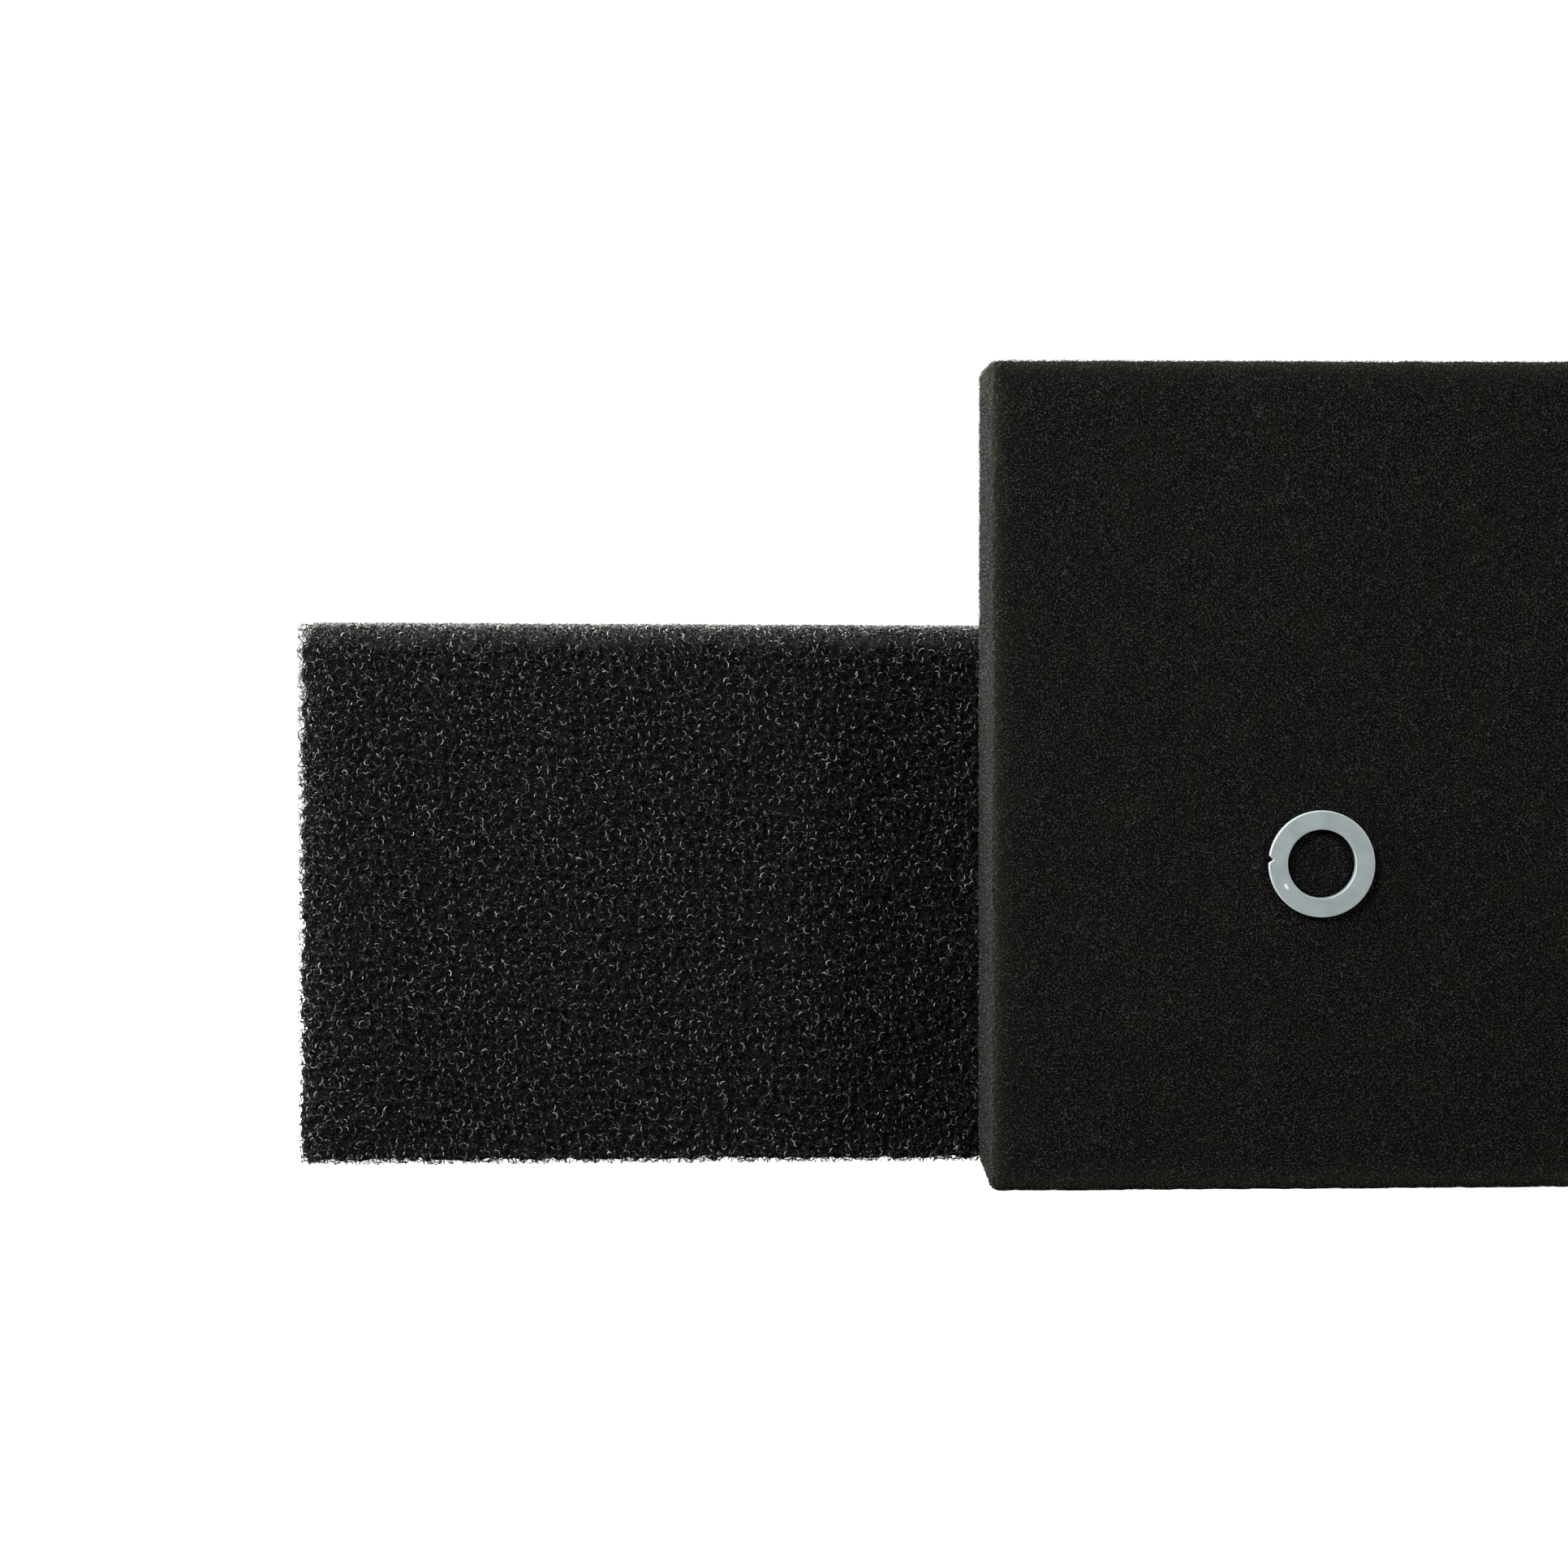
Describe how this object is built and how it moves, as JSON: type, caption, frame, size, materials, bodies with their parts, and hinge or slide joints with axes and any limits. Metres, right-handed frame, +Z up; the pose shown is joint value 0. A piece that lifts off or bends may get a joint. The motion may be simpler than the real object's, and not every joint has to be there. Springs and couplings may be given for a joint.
{
  "type": "pond filter foam set",
  "caption": "Two stacked open-cell filter foam slabs, fine in front and coarse behind, with a translucent plastic pipe ring pressed into the fine foam.",
  "frame": {"origin": "centre of the fine foam's base", "axes": "+Z up, -Y out of the fine foam's front face, +X along the stacked slabs' width"},
  "size_m": [0.4136, 0.1027, 0.25],
  "materials": {
    "fine_foam": "black open-cell polyurethane foam with about 1 mm pores, dull, with small lighter flecks on the cut faces",
    "coarse_foam": "black reticulated polyurethane foam with about 3 mm cells, slightly glossy strands",
    "ring_plastic": "translucent natural-white moulded plastic, satin"
  },
  "bodies": {
    "fine_body": {"fine_sponge": "fine_foam"},
    "coarse_body": {"coarse_sponge": "coarse_foam"},
    "ring_body": {"port_ring": "ring_plastic"}
  },
  "joints": [
    {"name": "coarse_slide", "type": "slide", "parent": "fine_body", "child": "coarse_body", "axis": [1, 0, 0], "range_m": [-0.045, 0.1886]},
    {"name": "ring_pull", "type": "slide", "parent": "fine_body", "child": "ring_body", "axis": [0, -1, 0], "range_m": [0, 0.03]}
  ]
}
